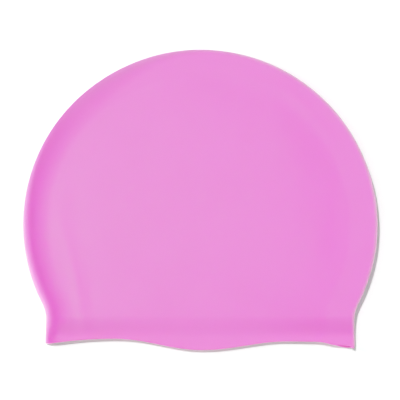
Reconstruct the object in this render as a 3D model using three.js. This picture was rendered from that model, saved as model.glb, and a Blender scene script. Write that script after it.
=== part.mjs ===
// A moulded silicone swim cap lying on its side, as it rests on a table.
//
// The cap is one thin, hollow wall. Its outline, seen from above, is a round dome over a narrower
// skirt that ends in a wavy hem, and the hollow opens there, towards -Y. The wall folds round the
// dome and down both sides of the skirt. The lower sheet lies flat on the table, and the upper
// sheet is puffed along the fold, sags in the middle of the dome and steps down to the hem.
//
// Millimetres, +Z up, +Y from the hem to the crown. The origin is under the middle of the cap's
// box, on the table.

import * as THREE from 'three';

// Outline, seen from above
const DOME_HALF_WIDTH = 111; // half of the cap's overall width
const CROWN_RISE = 109.4; // from the dome's widest level to the crown
const SKIRT_INSET = 14.5; // how much narrower the skirt is than the dome, on each side
const NECK_ROUNDING = 3; // softens the corner where the dome meets the skirt
const SKIRT_LENGTH = 18; // from the neck to the highest stretch of the hem
const HEM_FLARE = 0.5; // how much wider the skirt is at its hem, on each side

// The hem's wave
const LOBE_DROP = 6.3; // how far the middle lobe hangs below the hem's highest stretch
const LEFT_LOBE_LENGTH = 51.5; // from the lobe's lowest point to the hem's highest, towards -X
const RIGHT_LOBE_LENGTH = 57;
const LEFT_CORNER_DROP = 4.1; // how far the hem's -X corner hangs below its highest stretch
const RIGHT_CORNER_DROP = 3.9;
const RIGHT_CORNER_LENGTH = 23; // from the +X fold to where the hem starts down to its corner
const RIGHT_CORNER_RUN = 20; // length over which it comes down
const HEM_TILT_DEG = 0.84; // the hem hangs a little lower towards +X
const LIP_SETBACK = 1.6; // the upper lip draws back from the lower one near the +X corner
const LIP_SETBACK_LENGTH = 15; // from the +X fold to where it starts to draw back
const LIP_SETBACK_GROWTH = 9; // length over which it draws back
const LIP_SETBACK_END = 3; // length beside the fold over which it comes back down

// Heights above the table, outside
const PUFF_HEIGHT = 15.5; // the puffed border round the dome
const NECK_HEIGHT = 14; // the last of that border, above the skirt
const MOUTH_HEIGHT = 8.8; // the upper lip at the hem, beside the fold
const BORDER_RUN = 62; // from the dome's widest level to where the border is as low as at the neck
const STEP_INSET = 2.3; // from the neck to the slope that leads down to the mouth height
const STEP_RUN = 14; // length of that slope

// The fold: low and broad on the left, towards -X, and full and narrow on the right
const LEFT_FOLD_SHARE = 0.12; // height of the fold's outermost line, as a share of the local height
const RIGHT_FOLD_SHARE = 0.58;
const LEFT_SHOULDER_RUN = 17; // from the outline in to the top of the puffed border
const RIGHT_SHOULDER_RUN = 3.2;
const LEFT_SQUARENESS = 2; // of the shoulder: 2 is an ellipse, and more is squarer
const RIGHT_SQUARENESS = 3;
const SIDE_CHANGE_X = -30; // where, across the cap, the fold is halfway between the two
const SIDE_CHANGE_LENGTH = 80; // length over which it changes from the one to the other
const HEEL_RUN = 9; // from the outline in to where the lower sheet touches the table
const HEEL_SQUARENESS = 2.4;

// The upper sheet's sag
const SAG_DEPTH = 5.6; // how far the middle of the dome hangs below the border
const SAG_INSET = 17; // from the outline in to where the sheet starts down
const SAG_EASING = 14; // length over which that start is eased
const SAG_POWER = 2.2; // 1 is a straight slope to the middle, and more is steeper by the border
const SAG_AT_NECK = 0.7; // share of the sag that is left at the neck
const SAG_AT_MOUTH = 0.25; // share of it that is left at the hem
const SAG_RUN = 55; // from the neck to where the dome has its whole sag

// Wall
const WALL = 0.65;
const RIM_WALL = 1.15; // the wall thickens inwards along the hem
const RIM_BAND = 9; // how far up from the hem it does so

// Fineness of the mesh
const POINTS_AROUND = 64;
const DOME_RINGS = 22;
const SKIRT_RINGS = 6;

const SILICONE_PINK = new THREE.Color(0xec91db);

const skirtHalfWidth = DOME_HALF_WIDTH - SKIRT_INSET;
const neckY = -CROWN_RISE * Math.sqrt(1 - (skirtHalfWidth / DOME_HALF_WIDTH) ** 2);
const archY = neckY - SKIRT_LENGTH;

const mix = (a, b, t) => a + (b - a) * t;

const smoothStep = (t) => {
  const s = THREE.MathUtils.clamp(t, 0, 1);
  return s * s * (3 - 2 * s);
};

// The larger of two values, rounded where they meet.
const softMax = (a, b, rounding) => {
  const near = Math.max(rounding - Math.abs(a - b), 0) / rounding;
  return Math.max(a, b) + (near * near * rounding) / 4;
};

// A fold's quarter round: 0 at the outline, where it stands upright, and 1 where it lies flat.
const quarterRound = (t, squareness) => {
  const left = 1 - THREE.MathUtils.clamp(t, 0, 1);
  return (1 - left ** squareness) ** (1 / squareness);
};

// The outline's half width at a level above or below the dome's widest level.
function halfWidth(y) {
  const dome = DOME_HALF_WIDTH * Math.sqrt(Math.max(1 - (y / CROWN_RISE) ** 2, 0));
  if (y >= 0) return dome;
  const skirt = skirtHalfWidth + HEM_FLARE * smoothStep((neckY - y) / SKIRT_LENGTH);
  return softMax(dome, skirt, NECK_ROUNDING);
}

// The level of the hem: a lobe in the middle, a long curve down to the -X corner, and a short
// step down to the +X one.
function hemY(x) {
  const out = Math.abs(x);
  const tilt = -x * Math.tan(THREE.MathUtils.degToRad(HEM_TILT_DEG));
  const lobeLength = x < 0 ? LEFT_LOBE_LENGTH : RIGHT_LOBE_LENGTH;
  if (out < lobeLength) {
    const lobe = (1 + Math.cos((Math.PI * out) / lobeLength)) / 2;
    return archY + tilt - LOBE_DROP * lobe;
  }
  if (x < 0) {
    const share = (out - lobeLength) / (skirtHalfWidth - lobeLength);
    return archY + tilt - LEFT_CORNER_DROP * share ** 2;
  }
  const past = out - (skirtHalfWidth - RIGHT_CORNER_LENGTH);
  return archY + tilt - RIGHT_CORNER_DROP * smoothStep(past / RIGHT_CORNER_RUN);
}

// How far the upper lip draws back from the hem, near the +X corner.
function lipSetback(x) {
  const inset = skirtHalfWidth - x;
  const grown = smoothStep((LIP_SETBACK_LENGTH - inset) / LIP_SETBACK_GROWTH);
  return LIP_SETBACK * grown * smoothStep(inset / LIP_SETBACK_END);
}

// How far down the slope to the mouth a level of the cap is: 0 above it, and 1 below it.
const stepShare = (y) => smoothStep((neckY - STEP_INSET - y) / STEP_RUN);

// The height of the puffed border at a level of the cap.
function borderHeight(y) {
  const border = mix(PUFF_HEIGHT, NECK_HEIGHT, smoothStep(-y / BORDER_RUN));
  return mix(border, MOUTH_HEIGHT, stepShare(y));
}

// How much of the fold's right form there is: 0 on the left, and 1 on the right.
const rightShare = (x) => smoothStep(0.5 + (x - SIDE_CHANGE_X) / SIDE_CHANGE_LENGTH);

const foldShare = (x) => mix(LEFT_FOLD_SHARE, RIGHT_FOLD_SHARE, rightShare(x));

// The distance in from the outline, square to it.
function depthInside(x, y, ringHalfWidth) {
  if (y >= 0) {
    return DOME_HALF_WIDTH * (1 - Math.hypot(x / DOME_HALF_WIDTH, y / CROWN_RISE));
  }
  const step = 0.5;
  const lean = (halfWidth(y + step) - halfWidth(y - step)) / (2 * step);
  return (ringHalfWidth - Math.abs(x)) / Math.hypot(1, lean);
}

// How far the upper sheet hangs below the puffed border.
function sagAt(y, depth, middleDepth) {
  const inward = THREE.MathUtils.clamp((depth - SAG_INSET) / (middleDepth - SAG_INSET), 0, 1);
  const eased = smoothStep(0.5 + (depth - SAG_INSET) / SAG_EASING);
  const aboveNeck = mix(SAG_AT_NECK, 1, smoothStep((y - neckY) / SAG_RUN));
  const share = mix(aboveNeck, SAG_AT_MOUTH, stepShare(y));
  return SAG_DEPTH * (1 - (1 - inward) ** SAG_POWER) * eased * share;
}

// A point of the outside: ring goes from 0 at the hem to 1 at the crown, and turn goes once round
// the cap, along the upper sheet from the +X fold to the -X fold and back along the lower sheet.
function outsidePoint(ring, turn) {
  const angle = turn * 2 * Math.PI;
  const upper = turn < 0.5;
  const skirtShare = SKIRT_RINGS / (SKIRT_RINGS + DOME_RINGS);
  let x;
  let y;
  let ringHalfWidth;
  if (ring < skirtShare) {
    const up = ring / skirtShare;
    const edgeY = mix(archY, neckY, up);
    ringHalfWidth = halfWidth(edgeY);
    x = ringHalfWidth * Math.cos(angle);
    y = mix(hemY(x) + (upper ? lipSetback(x) : 0), neckY, up);
  } else {
    const neckAngle = Math.asin(neckY / CROWN_RISE);
    const up = (ring - skirtShare) / (1 - skirtShare);
    y = CROWN_RISE * Math.sin(mix(neckAngle, Math.PI / 2, up));
    ringHalfWidth = halfWidth(y);
    x = ringHalfWidth * Math.cos(angle);
  }
  const depth = Math.max(depthInside(x, y, ringHalfWidth), 0);
  const top = borderHeight(y);
  const foldHeight = foldShare(x) * top;
  if (!upper) {
    const drop = foldHeight * quarterRound(depth / HEEL_RUN, HEEL_SQUARENESS);
    return new THREE.Vector3(x, y, foldHeight - drop);
  }
  const middleDepth = y < 0 ? depthInside(0, y, ringHalfWidth) : DOME_HALF_WIDTH;
  const run = (mix(LEFT_SHOULDER_RUN, RIGHT_SHOULDER_RUN, rightShare(x)) * top) / PUFF_HEIGHT;
  const squareness = mix(LEFT_SQUARENESS, RIGHT_SQUARENESS, rightShare(x));
  const rise = (top - foldHeight) * quarterRound(depth / run, squareness);
  return new THREE.Vector3(x, y, foldHeight + rise - sagAt(y, depth, middleDepth));
}

// The outside as rings of points from the hem to the crown, and the crown's own point last.
function outsideRings() {
  const rings = SKIRT_RINGS + DOME_RINGS;
  const points = [];
  for (let ring = 0; ring < rings; ring++) {
    for (let i = 0; i < POINTS_AROUND; i++) {
      points.push(outsidePoint(ring / rings, i / POINTS_AROUND));
    }
  }
  points.push(new THREE.Vector3(0, CROWN_RISE, foldShare(0) * PUFF_HEIGHT));
  return points;
}

// Triangles between the rings, and round the crown's point.
function ringTriangles(rings) {
  const triangles = [];
  for (let ring = 0; ring < rings - 1; ring++) {
    for (let i = 0; i < POINTS_AROUND; i++) {
      const next = (i + 1) % POINTS_AROUND;
      const a = ring * POINTS_AROUND + i;
      const b = ring * POINTS_AROUND + next;
      triangles.push([a, a + POINTS_AROUND, b], [b, a + POINTS_AROUND, b + POINTS_AROUND]);
    }
  }
  const crown = rings * POINTS_AROUND;
  for (let i = 0; i < POINTS_AROUND; i++) {
    const a = crown - POINTS_AROUND + i;
    triangles.push([a, crown, crown - POINTS_AROUND + ((i + 1) % POINTS_AROUND)]);
  }
  return triangles;
}

function geometryOf(points, triangles) {
  const geometry = new THREE.BufferGeometry().setFromPoints(points);
  geometry.setIndex(triangles.flat());
  geometry.computeVertexNormals();
  return geometry;
}

// The wall's thickness at a point of the outside.
function wallAt(point) {
  const aboveHem = point.y - hemY(point.x);
  return mix(RIM_WALL, WALL, smoothStep(aboveHem / RIM_BAND));
}

// The closed wall: the outside, the inside a wall's thickness in from it, and the hem's edge.
function capGeometry() {
  const outside = outsideRings();
  const triangles = ringTriangles(SKIRT_RINGS + DOME_RINGS);
  const normals = geometryOf(outside, triangles).getAttribute('normal');
  const inside = outside.map((point, i) => {
    const inward = new THREE.Vector3().fromBufferAttribute(normals, i).negate();
    return point.clone().addScaledVector(inward, wallAt(point));
  });
  const count = outside.length;
  const insideTriangles = triangles.map(([a, b, c]) => [count + a, count + c, count + b]);
  const edge = [];
  for (let i = 0; i < POINTS_AROUND; i++) {
    const next = (i + 1) % POINTS_AROUND;
    edge.push([i, next, count + i], [next, count + next, count + i]);
  }
  return geometryOf([...outside, ...inside], [...triangles, ...insideTriangles, ...edge]);
}

const silicone = new THREE.MeshStandardMaterial({
  color: SILICONE_PINK,
  roughness: 0.45,
  metalness: 0,
});

const capShell = new THREE.Mesh(capGeometry(), silicone);
capShell.name = 'cap_shell';

// The origin goes to the middle of the outline's length.
const lobeY = archY - LOBE_DROP;
capShell.position.y = -(CROWN_RISE + lobeY) / 2;

const swimCap = new THREE.Group();
swimCap.add(capShell);

export default swimCap;
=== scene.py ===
"""A pink silicone swim cap lying flat on a white table, seen from straight above."""

import math

import bpy
import numpy as np
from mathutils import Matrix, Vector


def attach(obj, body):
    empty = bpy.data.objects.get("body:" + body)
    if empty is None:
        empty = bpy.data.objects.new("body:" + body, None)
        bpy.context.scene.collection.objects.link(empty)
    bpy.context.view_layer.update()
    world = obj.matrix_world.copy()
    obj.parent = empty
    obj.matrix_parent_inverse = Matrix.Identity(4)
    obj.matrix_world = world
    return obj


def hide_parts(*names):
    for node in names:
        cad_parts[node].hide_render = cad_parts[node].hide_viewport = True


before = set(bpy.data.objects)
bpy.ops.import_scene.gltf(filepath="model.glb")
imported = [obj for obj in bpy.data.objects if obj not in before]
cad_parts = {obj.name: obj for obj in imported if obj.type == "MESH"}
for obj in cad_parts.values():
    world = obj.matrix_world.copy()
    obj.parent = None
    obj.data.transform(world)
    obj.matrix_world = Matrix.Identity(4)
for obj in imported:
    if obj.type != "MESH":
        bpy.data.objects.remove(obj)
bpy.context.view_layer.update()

# ---- The cap's sizes, in millimetres, as in the part's own source ----

DOME_HALF_WIDTH = 111.0
CROWN_RISE = 109.4
SKIRT_INSET = 14.5
SKIRT_HALF_WIDTH = DOME_HALF_WIDTH - SKIRT_INSET
NECK_ROUNDING = 3.0
SKIRT_LENGTH = 18.0
HEM_FLARE = 0.5

LOBE_DROP = 6.3
LEFT_LOBE_LENGTH = 51.5
RIGHT_LOBE_LENGTH = 57.0
LEFT_CORNER_DROP = 4.1
RIGHT_CORNER_DROP = 3.9
RIGHT_CORNER_LENGTH = 23.0
RIGHT_CORNER_RUN = 20.0
HEM_TILT = math.radians(0.84)
LIP_SETBACK = 1.6
LIP_SETBACK_LENGTH = 15.0
LIP_SETBACK_GROWTH = 9.0
LIP_SETBACK_END = 3.0

PUFF_HEIGHT = 15.5
NECK_HEIGHT = 14.0
MOUTH_HEIGHT = 8.8
BORDER_RUN = 62.0
STEP_INSET = 2.3
STEP_RUN = 14.0

LEFT_FOLD_SHARE = 0.12
RIGHT_FOLD_SHARE = 0.58
LEFT_SHOULDER_RUN = 17.0
RIGHT_SHOULDER_RUN = 3.2
LEFT_SQUARENESS = 2.0
RIGHT_SQUARENESS = 3.0
SIDE_CHANGE_X = -30.0
SIDE_CHANGE_LENGTH = 80.0
HEEL_RUN = 9.0
HEEL_SQUARENESS = 2.4

SAG_DEPTH = 5.6
SAG_INSET = 17.0
SAG_EASING = 14.0
SAG_POWER = 2.2
SAG_AT_NECK = 0.7
SAG_AT_MOUTH = 0.25
SAG_RUN = 55.0

WALL = 0.65
RIM_WALL = 1.15
RIM_BAND = 9.0

# Faint creases and dents of the upper sheet, with places from the middle of the cap as seen from
# above. A depth below 0 is a ridge. They fade out within DENT_EDGE of the outline.
DENT_EDGE = 12.0
DENTS = (
    # x, y, half length, half width, turn in degrees, depth
    (-82.0, -30.0, 24.0, 3.6, -75, 0.4),
    (-76.0, -58.0, 20.0, 3.2, -81, 0.5),
    (-67.0, -58.0, 17.0, 3.4, -86, -0.3),
    (-77.0, -6.0, 26.0, 5.0, -84, -0.35),
    (69.0, 52.0, 26.0, 6.0, -52, 0.45),
    (36.0, 72.0, 22.0, 6.0, -16, 0.5),
    (58.0, 34.0, 20.0, 13.0, -62, 0.9),
    (52.0, 6.0, 40.0, 24.0, -75, 0.7),
    (72.0, -28.0, 16.0, 9.0, 80, 0.5),
    (85.0, -5.0, 26.0, 3.4, 88, -0.22),
    (42.0, -66.0, 6.0, 4.0, 30, 0.25),
    (10.0, -56.0, 18.0, 3.6, -12, 0.25),
    (-20.0, -36.0, 20.0, 7.0, 22, -0.25),
    (-38.0, 36.0, 24.0, 16.0, 60, -0.35),
    (-10.0, 60.0, 26.0, 9.0, 10, 0.3),
)

NECK_Y = -CROWN_RISE * math.sqrt(1 - (SKIRT_HALF_WIDTH / DOME_HALF_WIDTH) ** 2)
ARCH_Y = NECK_Y - SKIRT_LENGTH
MIDDLE_Y = (CROWN_RISE + ARCH_Y - LOBE_DROP) / 2

# ---- How fine the visible mesh is ----

POINTS_AROUND = 288
SKIRT_RINGS = 34
DOME_RINGS = 96
RIM_RINGS = 7


def mix(a, b, t):
    return a + (b - a) * t


def smooth_step(t):
    s = np.clip(t, 0, 1)
    return s * s * (3 - 2 * s)


def soft_max(a, b, rounding):
    near = np.maximum(rounding - np.abs(a - b), 0) / rounding
    return np.maximum(a, b) + near * near * rounding / 4


def quarter_round(t, squareness):
    left = 1 - np.clip(t, 0, 1)
    return (1 - left**squareness) ** (1 / squareness)


def half_width(y):
    dome = DOME_HALF_WIDTH * np.sqrt(np.maximum(1 - (y / CROWN_RISE) ** 2, 0))
    skirt = SKIRT_HALF_WIDTH + HEM_FLARE * smooth_step((NECK_Y - y) / SKIRT_LENGTH)
    return np.where(y >= 0, dome, soft_max(dome, skirt, NECK_ROUNDING))


def hem_y(x):
    out = np.abs(x)
    length = np.where(x < 0, LEFT_LOBE_LENGTH, RIGHT_LOBE_LENGTH)
    lobe = LOBE_DROP * (1 + np.cos(np.pi * out / length)) / 2
    left = LEFT_CORNER_DROP * ((out - length) / (SKIRT_HALF_WIDTH - length)) ** 2
    past = out - (SKIRT_HALF_WIDTH - RIGHT_CORNER_LENGTH)
    right = RIGHT_CORNER_DROP * smooth_step(past / RIGHT_CORNER_RUN)
    corner = np.where(x < 0, left, right)
    return ARCH_Y - x * math.tan(HEM_TILT) - np.where(out < length, lobe, corner)


def lip_setback(x):
    inset = SKIRT_HALF_WIDTH - x
    grown = smooth_step((LIP_SETBACK_LENGTH - inset) / LIP_SETBACK_GROWTH)
    return LIP_SETBACK * grown * smooth_step(inset / LIP_SETBACK_END)


def step_share(y):
    return smooth_step((NECK_Y - STEP_INSET - y) / STEP_RUN)


def border_height(y):
    border = mix(PUFF_HEIGHT, NECK_HEIGHT, smooth_step(-y / BORDER_RUN))
    return mix(border, MOUTH_HEIGHT, step_share(y))


def right_share(x):
    return smooth_step(0.5 + (x - SIDE_CHANGE_X) / SIDE_CHANGE_LENGTH)


def depth_inside(x, y, ring_half_width):
    upper = DOME_HALF_WIDTH * (1 - np.hypot(x / DOME_HALF_WIDTH, y / CROWN_RISE))
    lean = half_width(y + 0.5) - half_width(y - 0.5)
    lower = (ring_half_width - np.abs(x)) / np.hypot(1, lean)
    return np.where(y >= 0, upper, lower)


def sag_at(y, depth, middle_depth):
    inward = np.clip((depth - SAG_INSET) / (middle_depth - SAG_INSET), 0, 1)
    eased = smooth_step(0.5 + (depth - SAG_INSET) / SAG_EASING)
    above_neck = mix(SAG_AT_NECK, 1, smooth_step((y - NECK_Y) / SAG_RUN))
    share = mix(above_neck, SAG_AT_MOUTH, step_share(y))
    return SAG_DEPTH * (1 - (1 - inward) ** SAG_POWER) * eased * share


def dent_depth(x, y):
    """How far the faint creases and dents lower the upper sheet."""
    depth = np.zeros_like(x)
    for dent_x, dent_y, half_length, half_wide, turn, deep in DENTS:
        cos, sin = math.cos(math.radians(turn)), math.sin(math.radians(turn))
        along = ((x - dent_x) * cos + (y - dent_y) * sin) / half_length
        across = ((y - dent_y) * cos - (x - dent_x) * sin) / half_wide
        depth += deep * np.exp(-(along**2) - across**2)
    return depth


def outside_points():
    """The outside, as rings of points from just above the hem to the crown."""
    angle = 2 * np.pi * np.arange(POINTS_AROUND) / POINTS_AROUND
    upper = (angle < np.pi)[None, :]
    cos = np.cos(angle)[None, :]

    up = (np.arange(SKIRT_RINGS) / SKIRT_RINGS)[:, None]
    skirt_half = half_width(mix(ARCH_Y, NECK_Y, up))
    skirt_x = skirt_half * cos
    hem = hem_y(skirt_x) + np.where(upper, lip_setback(skirt_x), 0) + RIM_WALL / 2
    skirt_y = mix(hem, NECK_Y, up)

    up = (np.arange(DOME_RINGS) / DOME_RINGS)[:, None]
    level = mix(math.asin(NECK_Y / CROWN_RISE), np.pi / 2, up)
    dome_y = CROWN_RISE * np.sin(level) * np.ones_like(cos)
    dome_half = half_width(dome_y[:, :1])
    dome_x = dome_half * cos

    x = np.concatenate([skirt_x, dome_x])
    y = np.concatenate([skirt_y, dome_y])
    half = np.concatenate([skirt_half, dome_half])
    depth = np.maximum(depth_inside(x, y, half), 0)
    middle = np.where(y < 0, depth_inside(0, y, half), DOME_HALF_WIDTH)
    top = border_height(y)
    right = right_share(x)
    fold = mix(LEFT_FOLD_SHARE, RIGHT_FOLD_SHARE, right) * top
    run = mix(LEFT_SHOULDER_RUN, RIGHT_SHOULDER_RUN, right) * top / PUFF_HEIGHT
    squareness = mix(LEFT_SQUARENESS, RIGHT_SQUARENESS, right)
    rise = (top - fold) * quarter_round(depth / run, squareness)
    dents = dent_depth(x, y - MIDDLE_Y) * smooth_step(depth / DENT_EDGE)
    z_upper = fold + rise - sag_at(y, depth, middle) - dents
    z_lower = fold * (1 - quarter_round(depth / HEEL_RUN, HEEL_SQUARENESS))
    return np.stack([x, y, np.where(upper, z_upper, z_lower)], axis=-1)


def outward_normals(rings):
    """The outward normal at each point of the rings, from its neighbours."""
    around = np.roll(rings, -1, axis=1) - np.roll(rings, 1, axis=1)
    along = np.gradient(rings, axis=0)
    normals = np.cross(along, around)
    return normals / np.linalg.norm(normals, axis=-1, keepdims=True)


def cap_mesh():
    """The closed wall: the outside, a round rim along the hem, and the inside."""
    outside = outside_points()
    normals = outward_normals(outside)
    above_hem = outside[..., 1] - hem_y(outside[..., 0])
    wall = mix(RIM_WALL, WALL, smooth_step(above_hem / RIM_BAND))[..., None]
    inside = outside - normals * wall

    middle = (outside[0] + inside[0]) / 2
    across = (outside[0] - inside[0]) / 2
    out = outside[0] - outside[1]
    out -= across * np.sum(out * across, -1, keepdims=True) / np.sum(across**2, -1, keepdims=True)
    out *= np.linalg.norm(across, axis=-1, keepdims=True) / np.linalg.norm(out, axis=-1, keepdims=True)
    turns = np.pi * np.arange(1, RIM_RINGS) / RIM_RINGS
    rim = [middle + across * math.cos(t) + out * math.sin(t) for t in turns]

    rings = np.concatenate([outside[::-1], rim, inside])
    crown_fold = mix(LEFT_FOLD_SHARE, RIGHT_FOLD_SHARE, right_share(0)) * PUFF_HEIGHT
    crown_out = [0, CROWN_RISE, crown_fold]
    crown_in = [0, CROWN_RISE - WALL, crown_fold]
    points = np.concatenate([rings.reshape(-1, 3), [crown_out, crown_in]])
    points[:, 1] -= MIDDLE_Y

    faces = []
    count = len(rings)
    for ring in range(count - 1):
        for i in range(POINTS_AROUND):
            j = (i + 1) % POINTS_AROUND
            a, b = ring * POINTS_AROUND, (ring + 1) * POINTS_AROUND
            faces.append((a + i, a + j, b + j, b + i))
    last = (count - 1) * POINTS_AROUND
    crown = count * POINTS_AROUND
    for i in range(POINTS_AROUND):
        j = (i + 1) % POINTS_AROUND
        faces.append((crown, j, i))
        faces.append((crown + 1, last + i, last + j))

    mesh = bpy.data.meshes.new("silicone_cap")
    mesh.from_pydata((points / 1000).tolist(), [], faces)
    mesh.validate()
    mesh.shade_smooth()
    return mesh


# ---- Materials ----


def silicone():
    material = bpy.data.materials.new("silicone")
    material.use_nodes = True
    nodes, links = material.node_tree.nodes, material.node_tree.links
    shader = nodes["Principled BSDF"]
    place = nodes.new("ShaderNodeTexCoord")

    def noise(scale, detail, roughness=0.5):
        node = nodes.new("ShaderNodeTexNoise")
        node.inputs["Scale"].default_value = scale
        node.inputs["Detail"].default_value = detail
        node.inputs["Roughness"].default_value = roughness
        links.new(place.outputs["Object"], node.inputs["Vector"])
        return node

    # The pigment: a broad, faint unevenness.
    cloud = noise(28, 3)
    tone = nodes.new("ShaderNodeMix")
    tone.data_type = "RGBA"
    tone.inputs["A"].default_value = (0.845, 0.285, 0.652, 1)
    tone.inputs["B"].default_value = (0.865, 0.31, 0.682, 1)
    links.new(cloud.outputs["Fac"], tone.inputs["Factor"])
    links.new(tone.outputs["Result"], shader.inputs["Base Color"])

    # The skin: satin, a little uneven.
    patches = noise(60, 4)
    gloss = nodes.new("ShaderNodeMapRange")
    gloss.inputs["To Min"].default_value = 0.44
    gloss.inputs["To Max"].default_value = 0.56
    links.new(patches.outputs["Fac"], gloss.inputs["Value"])
    links.new(gloss.outputs["Result"], shader.inputs["Roughness"])

    grain = noise(2600, 2)
    bump = nodes.new("ShaderNodeBump")
    bump.inputs["Strength"].default_value = 0.08
    bump.inputs["Distance"].default_value = 0.0002
    links.new(grain.outputs["Fac"], bump.inputs["Height"])
    links.new(bump.outputs["Normal"], shader.inputs["Normal"])

    shader.inputs["IOR"].default_value = 1.41
    shader.inputs["Subsurface Weight"].default_value = 0.1
    shader.inputs["Subsurface Radius"].default_value = (1.0, 0.12, 0.5)
    shader.inputs["Subsurface Scale"].default_value = 0.002
    return material


def table():
    material = bpy.data.materials.new("white_table")
    material.use_nodes = True
    nodes, links = material.node_tree.nodes, material.node_tree.links
    shader = nodes["Principled BSDF"]
    shader.inputs["Base Color"].default_value = (0.9, 0.9, 0.9, 1)
    shader.inputs["Roughness"].default_value = 0.9
    shader.inputs["Specular IOR Level"].default_value = 0.1
    return material


# ---- The cap ----

cap = bpy.data.objects.new("cap_visual", cap_mesh())
bpy.context.scene.collection.objects.link(cap)
cap.data.materials.append(silicone())
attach(cap, "root")
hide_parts("cap_shell")

# ---- The table, lights and camera ----

TABLE_REACH = 12.0
TABLE_DROP = 0.0002
corners = [(x * TABLE_REACH, y * TABLE_REACH, 0) for x, y in ((-1, -1), (1, -1), (1, 1), (-1, 1))]
floor_mesh = bpy.data.meshes.new("table_top")
floor_mesh.from_pydata(corners, [], [(0, 1, 2, 3)])
floor = bpy.data.objects.new("table_top", floor_mesh)
floor.location.z = -TABLE_DROP
bpy.context.scene.collection.objects.link(floor)
floor.data.materials.append(table())


def toward(azimuth, elevation):
    """The direction to a lamp: azimuth turns from +X to +Y, both in degrees."""
    a, e = math.radians(azimuth), math.radians(elevation)
    return Vector((math.cos(a) * math.cos(e), math.sin(a) * math.cos(e), math.sin(e)))


def shine_on(lamp, only):
    """Lets a lamp light one object, and hides the lamp itself."""
    lamp.visible_camera = False
    lamp.visible_glossy = False
    receivers = bpy.data.collections.new(lamp.name + "_lights")
    receivers.objects.link(only)
    lamp.light_linking.receiver_collection = receivers


def area_light(name, azimuth, elevation, distance, size, power, only, color=(1, 1, 1)):
    """A soft square light that looks at the cap and lights the one object named by only."""
    light = bpy.data.lights.new(name, "AREA")
    light.shape = "SQUARE"
    light.size = size
    light.energy = power
    light.color = color
    lamp = bpy.data.objects.new(name, light)
    lamp.location = distance * toward(azimuth, elevation)
    lamp.rotation_euler = (-lamp.location).to_track_quat("-Z", "Y").to_euler()
    bpy.context.scene.collection.objects.link(lamp)
    shine_on(lamp, only)
    return lamp


def sun_light(name, azimuth, elevation, spread, strength, only):
    """A light from far off, spread over some degrees of the sky."""
    light = bpy.data.lights.new(name, "SUN")
    light.energy = strength
    light.angle = math.radians(spread)
    lamp = bpy.data.objects.new(name, light)
    lamp.rotation_euler = (-toward(azimuth, elevation)).to_track_quat("-Z", "Y").to_euler()
    bpy.context.scene.collection.objects.link(lamp)
    shine_on(lamp, only)


# The cap: a soft fill from above, a near lamp over the left, and two low ones from the right.
area_light("cap_fill", 0, 90, 0.7, 1.6, 12.4, cap, (1.0, 0.0, 0.983))
area_light("cap_top", 198, 76, 0.33, 0.1, 0.45, cap, (0.0, 1.0, 0.0))
area_light("cap_side", 38, 31, 2.0, 0.6, 38, cap, (0.03, 1.0, 0.08))
area_light("cap_front", 305, 15, 2.0, 0.6, 13, cap, (0.03, 1.0, 0.08))

# Light that comes up through a white table, which pales the rim along the left and the hem.
under = area_light("cap_under", 215, -30, 2.0, 0.4, 88, cap, (0.4, 1.0, 0.42))
casters = bpy.data.collections.new("cap_under_casters")
casters.objects.link(cap)
under.light_linking.blocker_collection = casters

# The table: lit to a clear white, with a short soft shadow at the lower right.
sun_light("table_light", 125, 70.5, 3.5, 2.15, floor)
area_light("table_left", 160, 45, 0.6, 0.1, 1.6, floor)
area_light("table_fill", 0, 90, 6.0, 12.0, 480, floor, (0.88, 1.0, 0.93))

# A white room, which the camera and the cap's gloss see.
world = bpy.data.worlds.new("studio")
world.use_nodes = True
world.node_tree.nodes["Background"].inputs["Color"].default_value = (1, 1, 1, 1)
world.node_tree.nodes["Background"].inputs["Strength"].default_value = 1.15
bpy.context.scene.world = world
world.cycles_visibility.diffuse = False

# The photo's tone: true up to the cap's own colours, then a shoulder up to an over-exposed white.
WHITE_LEVEL = 1.1
look = bpy.context.scene.view_settings
look.view_transform = "Standard"
look.use_curve_mapping = True
look.curve_mapping.white_level = (WHITE_LEVEL,) * 3
tone_curve = look.curve_mapping.curves[3]
for light_in, light_out in ((0.4, 0.4), (0.84, 0.84), (0.97, 0.9)):
    tone_curve.points.new(light_in / WHITE_LEVEL, light_out)
look.curve_mapping.update()

# The camera looks straight down. The view is VIEW_WIDTH wide at the height of the cap's outline.
CAMERA_HEIGHT = 1.3
OUTLINE_HEIGHT = 0.007
VIEW_WIDTH = 0.25016
SENSOR_WIDTH = 36
camera_data = bpy.data.cameras.new("camera")
camera_data.sensor_width = SENSOR_WIDTH
camera_data.lens = SENSOR_WIDTH * (CAMERA_HEIGHT - OUTLINE_HEIGHT) / VIEW_WIDTH
camera = bpy.data.objects.new("camera", camera_data)
camera.location = (0.0002, 0.0, CAMERA_HEIGHT)
bpy.context.scene.collection.objects.link(camera)
bpy.context.scene.camera = camera
